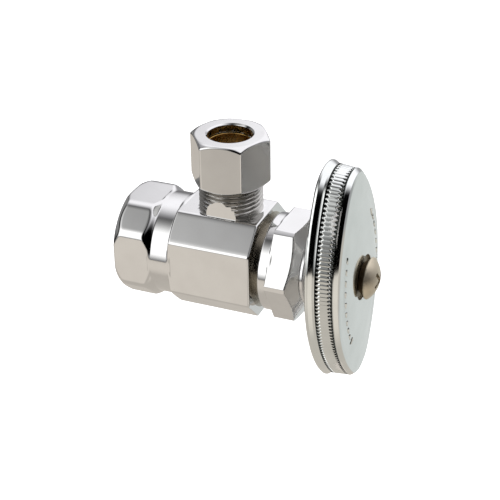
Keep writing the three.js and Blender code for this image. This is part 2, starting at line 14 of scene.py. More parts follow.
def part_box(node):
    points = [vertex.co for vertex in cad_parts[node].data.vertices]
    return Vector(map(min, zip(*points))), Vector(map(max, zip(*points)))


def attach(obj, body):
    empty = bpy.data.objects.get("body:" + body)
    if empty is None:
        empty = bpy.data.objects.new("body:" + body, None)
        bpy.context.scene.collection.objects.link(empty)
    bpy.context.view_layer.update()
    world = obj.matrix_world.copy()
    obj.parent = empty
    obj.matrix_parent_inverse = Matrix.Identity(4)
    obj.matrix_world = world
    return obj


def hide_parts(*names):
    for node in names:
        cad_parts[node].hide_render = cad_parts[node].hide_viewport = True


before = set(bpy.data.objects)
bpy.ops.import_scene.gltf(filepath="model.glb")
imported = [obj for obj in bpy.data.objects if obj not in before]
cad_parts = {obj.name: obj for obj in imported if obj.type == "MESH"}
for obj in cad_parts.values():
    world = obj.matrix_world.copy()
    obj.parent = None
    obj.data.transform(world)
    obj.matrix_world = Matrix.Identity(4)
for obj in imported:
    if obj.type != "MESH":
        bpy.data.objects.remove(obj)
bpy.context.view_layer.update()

MM = 0.001


# ---------------------------------------------------------------- sizes from the frame
def box_mm(node):
    """A CAD node's lowest and highest corners in millimetres."""
    low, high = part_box(node)
    return np.array(low) / MM, np.array(high) / MM


_, body_high = box_mm("valve_body")
nut_low, nut_high = box_mm("outlet_nut")
sleeve_low, sleeve_high = box_mm("ferrule")
bonnet_low, bonnet_high = box_mm("bonnet_nut")
ring_low, ring_high = box_mm("friction_ring")
packing_low, packing_high = box_mm("stem_packing")
stem_low, stem_high = box_mm("stem")
washer_low, washer_high = box_mm("seat_washer")
cup_screw_low, cup_screw_high = box_mm("seat_washer_screw")
screw_low, screw_high = box_mm("handle_screw")

OUTLET_X = (nut_low[0] + nut_high[0]) / 2
BOSS_TOP_Z = body_high[2]
NECK_END_X = body_high[0]

# Body: an octagonal inlet, a turned waist and an octagonal block
BODY_HALF_FLATS = 11.6
BODY_CORNER_CUT = 5.36
BODY_CORNER_R = 13.25
INLET_CHAMFER_R = 11.9
INLET_CHAMFER = 1.9
INLET_END_X = 7.24
INLET_CONE = 1.9
INLET_FLAT_ANGLE = 47.025
INLET_EDGE = 0.9
WAIST_R = 11.75
WAIST_MIDDLE_X = 11.0
BLOCK_CONE = 0.5
BLOCK_X = 13.79
BLOCK_END_X = 33.04
BLOCK_EDGE = 0.22
NECK_R = 8.55
NECK_THREAD_X = 33.9

# Waterway through the body
INLET_THREAD_END_X = 12.5
INLET_BORE_R = 8.4
INLET_STEP_R = 6.6
SEAT_R = 3.6
SEAT_X = 20.3
SEAT_GROOVE_X = 20.9
CHAMBER_R = 7.1
CHAMBER_END_X = 31
OUTLET_BORE_R = 4.0

# Threads: radius of the root and the crest of the male thread, and the pitch
PIPE_THREAD = dict(root=9.25, crest=10.35, pitch=1.814, taper=1 / 32)
BOSS_THREAD = dict(root=6.5, crest=7.14, pitch=1.0583)
NECK_THREAD = dict(root=8.65, crest=9.4, pitch=1.27)
STEM_THREAD = dict(root=5.75, crest=6.65, pitch=1.5)
THREAD_GAP = 0.25

# Outlet boss and nut
BOSS_THREAD_Z = 12.6
BOSS_PAD_Y = 5.9
BOSS_PAD_HALF = 3.5
BOSS_PAD_TOP_Z = 15.6
TUBE_SOCKET_R = 4.9
TUBE_STOP_Z = 20.4
SLEEVE_SEAT_R = 5.95
SLEEVE_R = 4.85
NUT_HALF_FLATS = 7.9375
NUT_TURN = 7
NUT_CORNER_R = 9.3
NUT_BOTTOM_R = 7.6
NUT_TOP_R = 7.94
NUT_BOTTOM_CHAMFER = 1.1
NUT_TOP_CHAMFER = 0.95
NUT_BORE_R = 5.0
NUT_MOUTH_R = 5.25

# Bonnet nut
BONNET_HALF_FLATS = 11.1
BONNET_COLLAR_R = 11.1
BONNET_HEX_X = 36.9
BONNET_CONE_X = 41.46
BONNET_CONE_END_X = 43.5
BONNET_NOSE_R = 8.0
PACKING_CHAMBER_R = 8.7

# Handle: an oval cap on a hub, its rim a sunk knurled band between two lips
HANDLE_HALF_WIDTH = 15.4
HANDLE_HALF_HEIGHT = 27.8
HANDLE_END_R = 8.5
HANDLE_TILT = 8
HANDLE_BACK_X = 47.0
HANDLE_LIP_ROUND = 0.7
HANDLE_LIP_X = 47.5
HANDLE_LIP_END_X = 48.05
HANDLE_BAND_X = 49.1
HANDLE_BAND_INSET = 0.6
HANDLE_BAND_END_X = 53.55
HANDLE_DRAFT = 0.95
HANDLE_FRONT_CHAMFER = 0.7
HANDLE_FRONT_X = 54.4
HANDLE_CROWN = 1.3
HANDLE_WALL = 2.2
FACE_EDGE = HANDLE_DRAFT + 3.0
HUB_BACK_X = 45
HUB_R = 6.0
RIB_HALF_THICKNESS = 0.7

# Knurl: grooves across the band, each with a notch at both its ends
KNURL_TEETH = 136
KNURL_STEPS = 6
KNURL_DEPTH = 0.07
NOTCH_DEPTH = 0.75
NOTCH_SHARE = 0.32

# Raised marks on the face, in shares of the way round it and of the way in to the screw
MARK_SPACING = 0.024
MARK_LENGTH = 0.014
MARK_WIDTH = 0.08
MARK_PLACE = 0.16

# Handle screw
SCREW_SEAT_R = 5.1
SCREW_SEAT_X = 55.0
SCREW_HEAD_R = 4.75
SCREW_DOME = 2.1
SCREW_NECK_R = 3.4
SCREW_SHANK_R = 1.5
SCREW_HOLE_R = 1.8
CROSS_HALF_LENGTH = 2.2
CROSS_HALF_WIDTH = 0.45
CROSS_DEPTH = 1.5

# Stem
STEM_R = 3.6
STEM_CUP_R = 5.4
STEM_THREAD_X = 28.5
STEM_THREAD_END_X = 34.9
STEM_SHOULDER_X = 44.1
SPLINE_X = 44.4
SPLINE_R = 3.4
SPLINE_DEPTH = 0.4
SPLINE_TEETH = 18
WASHER_SCREW_R = 1.3
WASHER_HOLE_R = 1.6


# ---------------------------------------------------------------- shaping by distance
def smooth_min(a, b, blend):
    """The lower of two distances, with the crease between them rounded off."""
    near = np.maximum(blend - np.abs(a - b), 0) / blend
    return np.minimum(a, b) - near * near * blend / 4


def smooth_max(a, b, blend):
    """The higher of two distances, with the crease between them rounded off."""
    return -smooth_min(-a, -b, blend)


def facets(u, v, planes, blend):
    """Distance inside a bar whose flats are (angle in degrees, distance from the axis)."""
    inside = None
    for angle, half in planes:
        turn = math.radians(angle)
        depth = half - (u * math.cos(turn) + v * math.sin(turn))
        inside = depth if inside is None else smooth_min(inside, depth, blend)
    return inside


def turned(height, radius, corners, blend):
    """Distance inside a convex turned solid from its (height, radius) corners, low end first."""
    inside = None
    for (h0, r0), (h1, r1) in zip(corners, corners[1:]):
        length = math.hypot(h1 - h0, r1 - r0)
        along = ((h1 - h0) / length, (r1 - r0) / length)
        depth = along[1] * (height - h0) - along[0] * (radius - r0)
        inside = depth if inside is None else smooth_min(inside, depth, blend)
    return inside


def spaced(start, stop, coarse, fine=None, near=(), reach=0.0):
    """Values from start to stop, `fine` apart within `reach` of each of `near`, else `coarse`."""
    sample = np.linspace(start, stop, 6001)
    gap = np.full(sample.shape, float(coarse))
    for place in near:
        gap[np.abs(sample - place) < reach] = fine
    count = np.concatenate([[0], np.cumsum(np.diff(sample) / gap[1:])])
    steps = max(2, math.ceil(count[-1]))
    return np.interp(np.linspace(0, count[-1], steps + 1), count, sample)


def spokes(side, core, face_step, fan_step):
    """Lines that leave the solid's core, in the (height, radius) half plane.

    They run from the axis out over the low face, along the side and back over the high face.
    """
    low, high = side[0], side[-1]
    rings = np.arange(face_step / 2, core, face_step)
    fan = np.linspace(0, math.pi / 2, math.ceil(90 / fan_step) + 1)[1:-1]
    rows = [((low, r), (-1, 0)) for r in rings]
    rows += [((low, core), (-math.cos(a), math.sin(a))) for a in fan]
    rows += [((h, core), (0, 1)) for h in side]
    rows += [((high, core), (math.sin(a), math.cos(a))) for a in fan]
    rows += [((high, r), (1, 0)) for r in rings[::-1]]
    return np.array(rows, float)


def carve(field, lines, angles, reach=6.0):
    """Rows of points where each line leaves the solid, one row for each line."""
    angles = np.radians(angles)
    shape = (len(lines), len(angles))
    near, far = np.zeros(shape), np.full(shape, reach)
    for _ in range(34):  # halves the reach to far below a micrometre
        middle = (near + far) / 2
        height = lines[:, 0, 0, None] + lines[:, 1, 0, None] * middle
        radius = lines[:, 0, 1, None] + lines[:, 1, 1, None] * middle
        inside = field(height, radius * np.cos(angles), radius * np.sin(angles)) > 0
        near, far = np.where(inside, middle, near), np.where(inside, far, middle)
    return np.stack([height, radius * np.cos(angles), radius * np.sin(angles)], axis=2)


# ---------------------------------------------------------------- shaping by rows
def rounded(corners, radius, steps=5):
    """A polyline with an arc of `radius` in place of each inner corner."""
    points = [np.array(p, float) for p in corners]
    out = [points[0]]
    for before, here, after in zip(points, points[1:], points[2:]):
        to_before, to_after = before - here, after - here
        lengths = np.linalg.norm(to_before), np.linalg.norm(to_after)
        a, b = to_before / lengths[0], to_after / lengths[1]
        half = math.acos(max(-1, min(1, float(a @ b)))) / 2
        if half > math.radians(88) or half < 1e-3:
            out.append(here)
            continue
        setback = min(radius / math.tan(half), 0.45 * min(lengths))
        arc_radius = setback * math.tan(half)
        middle = (a + b) / np.linalg.norm(a + b)
        centre = here + middle * arc_radius / math.sin(half)
        start, stop = here + a * setback - centre, here + b * setback - centre
        sweep = math.pi - 2 * half
        for k in range(steps + 1):
            share = k / steps
            mix = (math.sin((1 - share) * sweep) * start + math.sin(share * sweep) * stop)
            out.append(centre + mix / math.sin(sweep))
    out.append(points[-1])
    return out


def turned_rows(profile, angles):
    """One row for each (height, radius) point of a turned profile."""
    angles = np.radians(angles)
    rows = [
        np.stack([np.full(angles.shape, h), r * np.cos(angles), r * np.sin(angles)], axis=1)
        for h, r in profile
    ]
    return np.array(rows)


def thread_rows(thread, low, high, angles, lead=0.0, per_pitch=14):
    """Rows of a right-hand screw thread, its crest cut back to the root over `lead` at each end."""
    angles = np.radians(angles)
    root, crest, pitch = thread["root"], thread["crest"], thread["pitch"]
    heights = np.linspace(low, high, max(3, math.ceil((high - low) / pitch * per_pitch)) + 1)
    share = heights[:, None] / pitch - angles[None, :] / (2 * math.pi)
    ramp = 1 - np.abs(2 * (share % 1) - 1)  # 0 at the root, 1 at the crest
    ramp = np.clip((ramp - 0.1) / 0.78, 0, 1)  # flats at the root and at the crest
    ramp = ramp - 0.06 * np.sin(2 * math.pi * ramp)  # their edges eased
    radius = root + (crest - root) * ramp
    if lead:
        ends = np.minimum(heights - low, high - heights) / lead
        radius = np.minimum(radius, root + (crest - root) * np.clip(ends, 0, 1)[:, None])
    radius = radius - thread.get("taper", 0) * heights[:, None]
    height = np.broadcast_to(heights[:, None], radius.shape)
    return np.stack([height, radius * np.cos(angles), radius * np.sin(angles)], axis=2)


def tap(thread):
    """The cutter of the female thread that takes a male one."""
    return {**thread, "root": thread["root"] + THREAD_GAP, "crest": thread["crest"] + THREAD_GAP}


def round_angles(count):
    """`count` angles in degrees, evenly spaced."""
    return np.arange(count) * 360.0 / count


# ---------------------------------------------------------------- meshes
def on_z(rows):
    """Turns rows about the body's axis into rows about the outlet's axis."""
    return np.stack([rows[..., 1] + OUTLET_X, rows[..., 2], rows[..., 0]], axis=-1)


def mesh_object(name, points, faces):
    """An object from points in millimetres, its faces turned outwards."""
    mesh = bpy.data.meshes.new(name)
    mesh.from_pydata((np.asarray(points) * MM).tolist(), [], faces)
    made = bpy.data.objects.new(name, mesh)
    bpy.context.scene.collection.objects.link(made)
    return made


def shell(name, rows, ring=False):
    """A closed solid from rows of points, its ends closed by fans or, for a ring, joined."""
    count, width = rows.shape[:2]
    points = rows.reshape(-1, 3)
    low = np.arange(count - 1)[:, None] * width + np.arange(width)[None, :]
    right = np.arange(count - 1)[:, None] * width + (np.arange(width)[None, :] + 1) % width
    quads = np.stack([low, right, right + width, low + width], axis=2).reshape(-1, 4)
    faces = quads.tolist()
    if ring:
        last = (count - 1) * width
        faces += [[last + k, last + (k + 1) % width, (k + 1) % width, k] for k in range(width)]
    else:
        first_centre, last_centre = len(points), len(points) + 1
        points = np.vstack([points, rows[0].mean(axis=0), rows[-1].mean(axis=0)])
        top = (count - 1) * width
        faces += [[(k + 1) % width, k, first_centre] for k in range(width)]
        faces += [[top + k, top + (k + 1) % width, last_centre] for k in range(width)]
    a, b, c = (points[[f[k] for f in faces]] for k in (0, 1, 2))
    volume = np.einsum("ij,ij->i", a - points.mean(axis=0), np.cross(b - a, c - a)).sum()
    if volume < 0:
        faces = [f[::-1] for f in faces]
    return mesh_object(name, points, faces)


def block(name, low, high, edge=0.0):
    """A box-shaped cutter or rib, its edges bevelled if `edge` is given."""
    low, high = np.array(low, float), np.array(high, float)
    corners = [[(low, high)[k >> i & 1][i] for i in range(3)] for k in range(8)]
    faces = [[0, 2, 3, 1], [4, 5, 7, 6], [0, 1, 5, 4], [2, 6, 7, 3], [0, 4, 6, 2], [1, 3, 7, 5]]
    made = mesh_object(name, corners, faces)
    if edge:
        bevel = made.modifiers.new("edge", "BEVEL")
        bevel.width = edge * MM
        bevel.segments = 3
        freeze(made)
    return made


def freeze(made):
    """Applies an object's modifiers to its mesh."""
    graph = bpy.context.evaluated_depsgraph_get()
    mesh = bpy.data.meshes.new_from_object(made.evaluated_get(graph))
    old = made.data
    made.modifiers.clear()
    made.data = mesh
    bpy.data.meshes.remove(old)
    mesh.name = made.name


def combine(made, operation, *others):
    """Joins other solids to one, or cuts them out of it, and removes them."""
    for other in others:
        step = made.modifiers.new("combine", "BOOLEAN")
        step.operation = operation
        step.solver = "MANIFOLD"
        step.object = other
        freeze(made)
        bpy.data.objects.remove(other)
    return made


def turn_about_x(made, degrees):
    """Turns an object's mesh about the body's axis."""
    made.data.transform(Matrix.Rotation(math.radians(degrees), 4, "X"))
    return made


def finish_piece(made, body, node, material, areas=(), crease=32):
    """Smooth shading with creases, the materials, and the piece's place in the frame.

    `areas` are (material, test) pairs: a test takes the faces' centres in millimetres.
    """
    mesh = made.data
    mesh.shade_smooth()
    mesh.set_sharp_from_angle(angle=math.radians(crease))
    mesh.materials.clear()
    mesh.materials.append(material)
    index = np.zeros(len(mesh.polygons), np.int32)
    centres = np.zeros(3 * len(mesh.polygons))
    mesh.polygons.foreach_get("center", centres)
    x, y, z = centres.reshape(-1, 3).T / MM
    for number, (other, test) in enumerate(areas, start=1):
        mesh.materials.append(other)
        index[test(x, y, z)] = number
    mesh.polygons.foreach_set("material_index", index)
    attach(made, body)
    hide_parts(node)
    return made


# ---------------------------------------------------------------- materials
def new_material(name):
    """A material with its nodes, its links and its main shader."""
    material = bpy.data.materials.new(name)
    material.use_nodes = True
    nodes, links = material.node_tree.nodes, material.node_tree.links
    return material, nodes, links, nodes["Principled BSDF"]


def noise(nodes, links, scale, detail=3.0, stretch=(1, 1, 1)):
    """Noise fixed to the object, `scale` in features per metre."""
    place = nodes.new("ShaderNodeTexCoord")
    mapping = nodes.new("ShaderNodeMapping")
    mapping.inputs["Scale"].default_value = stretch
    texture = nodes.new("ShaderNodeTexNoise")
    texture.inputs["Scale"].default_value = scale
    texture.inputs["Detail"].default_value = detail
    links.new(place.outputs["Object"], mapping.inputs["Vector"])
    links.new(mapping.outputs["Vector"], texture.inputs["Vector"])
    return texture.outputs["Fac"]


def ramp_value(nodes, links, source, low, high):
    """Spreads a 0..1 value over low..high."""
    spread = nodes.new("ShaderNodeMapRange")
    spread.inputs["From Min"].default_value = 0.3
    spread.inputs["From Max"].default_value = 0.7
    spread.inputs["To Min"].default_value = low
    spread.inputs["To Max"].default_value = high
    links.new(source, spread.inputs["Value"])
    return spread.outputs["Result"]


def metal(name, dark, light, rough, wave=0.0, grain=0.0):
    """A plated or machined metal: the tint and the roughness vary a little over the surface.

    `wave` and `grain` are the heights in millimetres of a broad swell and of a fine grain.
    """
    material, nodes, links, shader = new_material(name)
    shader.inputs["Metallic"].default_value = 1.0
    tint = nodes.new("ShaderNodeMix")
    tint.data_type = "RGBA"
    tint.inputs["A"].default_value = (*dark, 1)
    tint.inputs["B"].default_value = (*light, 1)
    links.new(ramp_value(nodes, links, noise(nodes, links, 160), 0, 1), tint.inputs["Factor"])
    links.new(tint.outputs["Result"], shader.inputs["Base Color"])
    wear = noise(nodes, links, 420, detail=6.0)
    links.new(ramp_value(nodes, links, wear, *rough), shader.inputs["Roughness"])
    height = nodes.new("ShaderNodeMath")
    height.operation = "MULTIPLY_ADD"
    height.inputs[1].default_value = grain
    links.new(noise(nodes, links, 2600, detail=4.0), height.inputs[0])
    swell = nodes.new("ShaderNodeMath")
    swell.operation = "MULTIPLY"
    swell.inputs[1].default_value = wave
    links.new(noise(nodes, links, 140, detail=1.0), swell.inputs[0])
    links.new(swell.outputs[0], height.inputs[2])
    bump = nodes.new("ShaderNodeBump")
    bump.inputs["Strength"].default_value = 1.0
    bump.inputs["Distance"].default_value = 0.001
    links.new(height.outputs[0], bump.inputs["Height"])
    links.new(bump.outputs["Normal"], shader.inputs["Normal"])
    return material


def soft_black(name, dark, light, rough):
    """Rubber or graphite: nearly black, mottled, with a fine grain."""
    material, nodes, links, shader = new_material(name)
    tint = nodes.new("ShaderNodeMix")
    tint.data_type = "RGBA"
    tint.inputs["A"].default_value = (*dark, 1)
    tint.inputs["B"].default_value = (*light, 1)
    links.new(ramp_value(nodes, links, noise(nodes, links, 900), 0, 1), tint.inputs["Factor"])
    links.new(tint.outputs["Result"], shader.inputs["Base Color"])
    roughness = ramp_value(nodes, links, noise(nodes, links, 1500), *rough)
    links.new(roughness, shader.inputs["Roughness"])
    bump = nodes.new("ShaderNodeBump")
    bump.inputs["Strength"].default_value = 0.4
    bump.inputs["Distance"].default_value = 0.00005
    links.new(noise(nodes, links, 3500), bump.inputs["Height"])
    links.new(bump.outputs["Normal"], shader.inputs["Normal"])
    return material


POLISHED = metal(
    "polished_chrome", (0.68, 0.675, 0.67), (0.72, 0.72, 0.715), (0.05, 0.10), 0.01, 0.0004,
)
CAST = metal("cast_chrome", (0.72, 0.74, 0.725), (0.78, 0.80, 0.785), (0.07, 0.13), 0.008, 0.001)
# A rougher metal for the handle's hollow back, its colour lightened as painted light in the shaded
# hollow.
SATIN_PAINTED_LIGHT = metal("satin_painted_light", (0.92, 0.92, 0.91), (0.96, 0.96, 0.95), (0.46, 0.56), 0.01, 0.004)
# Painted shade: a dark metal in the knurl's notches, where shade falls.
PAINTED_NOTCH_SHADE = metal("painted_notch_shade", (0.20, 0.21, 0.20), (0.26, 0.27, 0.26), (0.25, 0.35), 0.0, 0.002)
# A darker, rougher metal on the outlet's thread.
THREADED = metal("darker_rougher_thread", (0.42, 0.41, 0.39), (0.52, 0.51, 0.49), (0.24, 0.36), 0.0, 0.002)
# Painted shade: a darker, browner metal on the neck and the end face in the gap behind the bonnet
# nut's collar.
PAINTED_GAP_SHADE = metal("painted_gap_shade", (0.36, 0.335, 0.29), (0.44, 0.415, 0.36), (0.2, 0.3), 0.0, 0.002)
# Painted shade: a dark brown metal in the recess round the handle screw and under the screw's head.
PAINTED_RECESS_SHADE = metal("painted_recess_shade", (0.24, 0.20, 0.14), (0.30, 0.25, 0.18), (0.4, 0.5), 0.0, 0.002)
BRASS = metal("machined_brass", (0.52, 0.31, 0.09), (0.66, 0.43, 0.15), (0.2, 0.34), 0.0, 0.002)
NICKEL = metal("warm_nickel", (0.62, 0.55, 0.43), (0.72, 0.65, 0.52), (0.42, 0.52), 0.01, 0.002)
RUBBER = soft_black("seat_rubber", (0.012, 0.012, 0.012), (0.03, 0.03, 0.03), (0.55, 0.8))
GRAPHITE = soft_black("graphite_packing", (0.03, 0.03, 0.033), (0.09, 0.09, 0.1), (0.4, 0.65))


# ---------------------------------------------------------------- body
def body_field(x, y, z):
    """Distance inside the body's outside: the inlet and the block, joined by the waist."""
    cut = (2 * BODY_HALF_FLATS - BODY_CORNER_CUT) / math.sqrt(2)
    flats = [(90 * k, BODY_HALF_FLATS) for k in range(4)]
    block_flats = flats + [(45 + 90 * k, cut) for k in range(4)]
    tilt = INLET_FLAT_ANGLE
    inlet_flats = flats + [(turn, cut) for turn in (tilt, 180 - tilt, 180 + tilt, 360 - tilt)]
    bar = np.where(
        x > WAIST_MIDDLE_X,
        facets(y, z, block_flats, BLOCK_EDGE), facets(y, z, inlet_flats, INLET_EDGE),
    )
    radius = np.hypot(y, z)
    inlet_end = INLET_END_X + INLET_CONE
    block_start = BLOCK_X - BLOCK_CONE
    inlet = turned(x, radius, [
        (0, 0), (0, INLET_CHAMFER_R), (INLET_CHAMFER, BODY_CORNER_R),
        (INLET_END_X, BODY_CORNER_R), (inlet_end, WAIST_R), (inlet_end, 0),
    ], 0.3)
    main = turned(x, radius, [
        (block_start, 0), (block_start, WAIST_R), (BLOCK_X, BODY_CORNER_R),
        (BLOCK_END_X, BODY_CORNER_R), (BLOCK_END_X, 0),
    ], 0.3)
    octagons = smooth_min(bar, np.maximum(inlet, main), 0.35)
    waist = np.minimum(WAIST_R - radius, np.minimum(x - inlet_end + 0.6, block_start + 0.6 - x))
    return smooth_max(octagons, waist, 0.25)


def make_body():
    """The body, with its neck and boss threads and the waterway through it."""
    edge = math.degrees(math.atan2(BODY_HALF_FLATS - BODY_CORNER_CUT, BODY_HALF_FLATS))
    edges = [90 * k + side * edge for k in range(5) for side in (-1, 1)]
    angles = spaced(0, 360, 1.25, 0.45, edges, 3.2)[:-1]
    inlet_end = INLET_END_X + INLET_CONE
    block_start = BLOCK_X - BLOCK_CONE
    side = spaced(
        2.6, BLOCK_END_X - 1.2, 0.6, 0.12,
        [INLET_END_X + 0.4, inlet_end, block_start, BLOCK_X - 0.4], 1.2,
    )
    lines = spokes(side, core=9.0, face_step=1.5, fan_step=1.8)
    body = shell("valve_body_fine", carve(body_field, lines, angles))
    neck = np.concatenate([
        turned_rows([(BLOCK_END_X - 1, NECK_R), (NECK_THREAD_X, NECK_R)], round_angles(192)),
        thread_rows(NECK_THREAD, NECK_THREAD_X, NECK_END_X, round_angles(192), lead=0.8),
    ])
    combine(body, "UNION", shell("neck", neck), make_boss())
    return combine(body, "DIFFERENCE", *make_waterway())


def boss_pad(near, far):
    """The arched outline of the boss's pads, swept along Y."""
    spring_z = BOSS_PAD_TOP_Z - BOSS_PAD_HALF
    outline = [(-BOSS_PAD_HALF, BODY_HALF_FLATS - 1)]
    outline += [
        (-BOSS_PAD_HALF * math.cos(a), spring_z + BOSS_PAD_HALF * math.sin(a))
        for a in np.linspace(0, math.pi, 33)
    ]
    outline += [(BOSS_PAD_HALF, BODY_HALF_FLATS - 1)]
    rows = [[(OUTLET_X + x, y, z) for x, z in outline] for y in (near, far)]
    return shell("pad", np.array(rows))


def make_boss():
    """The threaded boss, with a smooth arched pad on its front and its back."""
    angles = round_angles(192)
    root, crest = BOSS_THREAD["root"], BOSS_THREAD["crest"]
    boss = shell("boss", on_z(np.concatenate([
        turned_rows([(5, crest), (BOSS_THREAD_Z - 1.0, crest)], angles),
        turned_rows([(BOSS_THREAD_Z - 0.55, root - 0.1)], angles),
        thread_rows(BOSS_THREAD, BOSS_THREAD_Z - 0.4, BOSS_TOP_Z, angles, lead=0.6),
    ])))
    combine(
        boss, "DIFFERENCE",
        boss_pad(BOSS_PAD_Y, BOSS_PAD_Y + 2), boss_pad(-BOSS_PAD_Y - 2, -BOSS_PAD_Y),
    )
    return combine(boss, "UNION", boss_pad(-BOSS_PAD_Y, BOSS_PAD_Y))


def make_waterway():
    """The cutters: the inlet with its pipe thread, the seat and stem bores, and the outlet."""
    angles = round_angles(144)
    inlet = shell("inlet", np.concatenate([
        turned_rows([(-1, 10.3)], angles),
        thread_rows(PIPE_THREAD, 0.0, INLET_THREAD_END_X, angles),
        turned_rows([
            (INLET_THREAD_END_X, INLET_BORE_R), (14, INLET_BORE_R), (15.4, INLET_STEP_R),
            (16.5, INLET_STEP_R), (17.3, 4.6), (17.9, SEAT_R), (SEAT_GROOVE_X + 0.5, SEAT_R),
        ], angles),
    ]))
    mouth = shell("mouth", turned_rows([(-1, 11.9), (0, 10.85), (1.6, 9.1)], angles))
    stem_tap = tap(STEM_THREAD)
    chamber = shell("chamber", np.concatenate([
        turned_rows([
            (SEAT_GROOVE_X, 0.5), (SEAT_GROOVE_X, 4.8), (SEAT_X, 4.95), (SEAT_X, 6.2),
            (SEAT_GROOVE_X, 6.2), (SEAT_GROOVE_X + 1, CHAMBER_R), (CHAMBER_END_X - 0.6, CHAMBER_R),
            (CHAMBER_END_X, stem_tap["root"]),
        ], angles),
        thread_rows(stem_tap, CHAMBER_END_X, NECK_END_X + 0.5, angles),
    ]))
    outlet = shell("outlet", on_z(turned_rows([
        (0, OUTLET_BORE_R), (TUBE_STOP_Z, OUTLET_BORE_R), (TUBE_STOP_Z, TUBE_SOCKET_R),
        (BOSS_TOP_Z - 1.3, TUBE_SOCKET_R), (BOSS_TOP_Z, SLEEVE_SEAT_R),
        (BOSS_TOP_Z + 1, SLEEVE_SEAT_R),
    ], angles)))
    return inlet, mouth, chamber, outlet


# ---------------------------------------------------------------- outlet nut and sleeve
def nut_field(z, u, v):
    """Distance inside the outlet nut's outside, about the outlet's axis."""
    planes = [(NUT_TURN + 30 + 60 * k, NUT_HALF_FLATS) for k in range(6)]
    hexagon = facets(u, v, planes, 0.3)
    low, high = nut_low[2], nut_high[2]
    blank = turned(z, np.hypot(u, v), [
        (low, 0), (low, NUT_BOTTOM_R), (low + NUT_BOTTOM_CHAMFER, NUT_CORNER_R),
        (high - NUT_TOP_CHAMFER, NUT_CORNER_R), (high, NUT_TOP_R), (high, 0),
    ], 0.25)
    return smooth_min(hexagon, blank, 0.25)


def make_nut():
    """The outlet nut, tapped below and bored for the tube above."""
    corners = [NUT_TURN + 60 * k for k in range(7)]
    angles = spaced(NUT_TURN - 20, NUT_TURN + 340, 1.4, 0.6, corners, 5)[:-1]
    side = spaced(nut_low[2] + 1.4, nut_high[2] - 1.4, 0.13)
    lines = spokes(side, core=6.2, face_step=1.5, fan_step=3.0)
    nut = shell("outlet_nut_fine", on_z(carve(nut_field, lines, angles)))
    top = nut_high[2]
    shoulder = sleeve_high[2] + 0.3
    nut_tap = tap(BOSS_THREAD)
    around = round_angles(144)
    mouth = rounded([
        (shoulder - 1.6, nut_tap["root"]), (shoulder, NUT_BORE_R), (top - 0.35, NUT_BORE_R),
        (top + 0.3, NUT_MOUTH_R + 0.4), (top + 1, NUT_MOUTH_R + 0.4),
    ], 0.2)
    low, crest = nut_low[2], nut_tap["crest"]
    bore = shell("bore", on_z(np.concatenate([
        turned_rows([(low - 1, crest + 0.8), (low, crest + 0.2)], around),
        thread_rows(nut_tap, low + 0.3, shoulder - 1.6, around),
        turned_rows(mouth, around),
    ])))
    return combine(nut, "DIFFERENCE", bore)


def make_sleeve():
    """The brass sleeve, cone-ended towards the boss and towards the nut."""
    low, high = sleeve_low[2], sleeve_high[2]
    inner, outer = SLEEVE_R, (sleeve_high[0] - sleeve_low[0]) / 2
    profile = rounded([
        (low + 1, inner), (low, inner), (low, inner + 0.3), (low + 1.4, outer), (low + 3.4, outer),
        (high, inner + 0.3), (high, inner), (low + 1, inner),
    ], 0.15)[:-1]
    return shell("ferrule_fine", on_z(turned_rows(profile, round_angles(144))), ring=True)


# ---------------------------------------------------------------- bonnet nut and packing
def bonnet_field(x, y, z):
    """Distance inside the bonnet nut's outside: collar, coned hexagon and nose."""
    planes = [(30 + 60 * k, BONNET_HALF_FLATS) for k in range(6)]
    hexagon = facets(y, z, planes, 0.35)
    radius = np.hypot(y, z)
    nose = bonnet_high[0]
    corner = BONNET_HALF_FLATS / math.cos(math.radians(30)) + 0.1
    cone = turned(x, radius, [
        (BONNET_HEX_X, 0), (BONNET_HEX_X, corner), (BONNET_CONE_X, corner),
        (BONNET_CONE_END_X, BONNET_NOSE_R), (BONNET_CONE_END_X, 0),
    ], 0.2)
    head = smooth_min(hexagon, cone, 0.2)
    tip = turned(x, radius, [
        (BONNET_HEX_X, 0), (BONNET_HEX_X, BONNET_NOSE_R), (nose, BONNET_NOSE_R), (nose, 0),
    ], 0.4)
    collar = turned(x, radius, [
        (bonnet_low[0], 0), (bonnet_low[0], BONNET_COLLAR_R), (BONNET_HEX_X + 0.6, BONNET_COLLAR_R),
        (BONNET_HEX_X + 0.6, 0),
    ], 0.35)
    return smooth_max(np.maximum(head, tip), collar, 0.2)


def make_bonnet():
    """The bonnet nut, tapped for the neck and bored for the packing and the stem."""
    corners = [60 * k for k in range(7)]
    angles = spaced(-20, 340, 1.3, 0.55, corners, 4.5)[:-1]
    side = spaced(bonnet_low[0] + 1.2, bonnet_high[0] - 1.3, 0.13)
    lines = spokes(side, core=6.5, face_step=1.5, fan_step=2.0)
    bonnet = shell("bonnet_nut_fine", carve(bonnet_field, lines, angles))
    around = round_angles(144)
    neck_tap = tap(NECK_THREAD)
    nose, stop = bonnet_high[0], packing_high[0] + 0.3
    bore = shell("bore", np.concatenate([
        turned_rows([(bonnet_low[0] - 1, 10.8), (bonnet_low[0], 9.9)], around),
        thread_rows(neck_tap, bonnet_low[0] + 0.5, NECK_END_X + 0.3, around),
        turned_rows([
            (NECK_END_X + 0.4, neck_tap["root"]), (NECK_END_X + 1.8, PACKING_CHAMBER_R),
            (packing_high[0] - 0.8, PACKING_CHAMBER_R), (stop, PACKING_CHAMBER_R - 1.6),
            (stop, STEM_R + 0.6), (nose - 0.4, STEM_R + 0.6), (nose + 0.4, STEM_R + 1.4),
        ], around),
    ]))
    return combine(bonnet, "DIFFERENCE", bore)


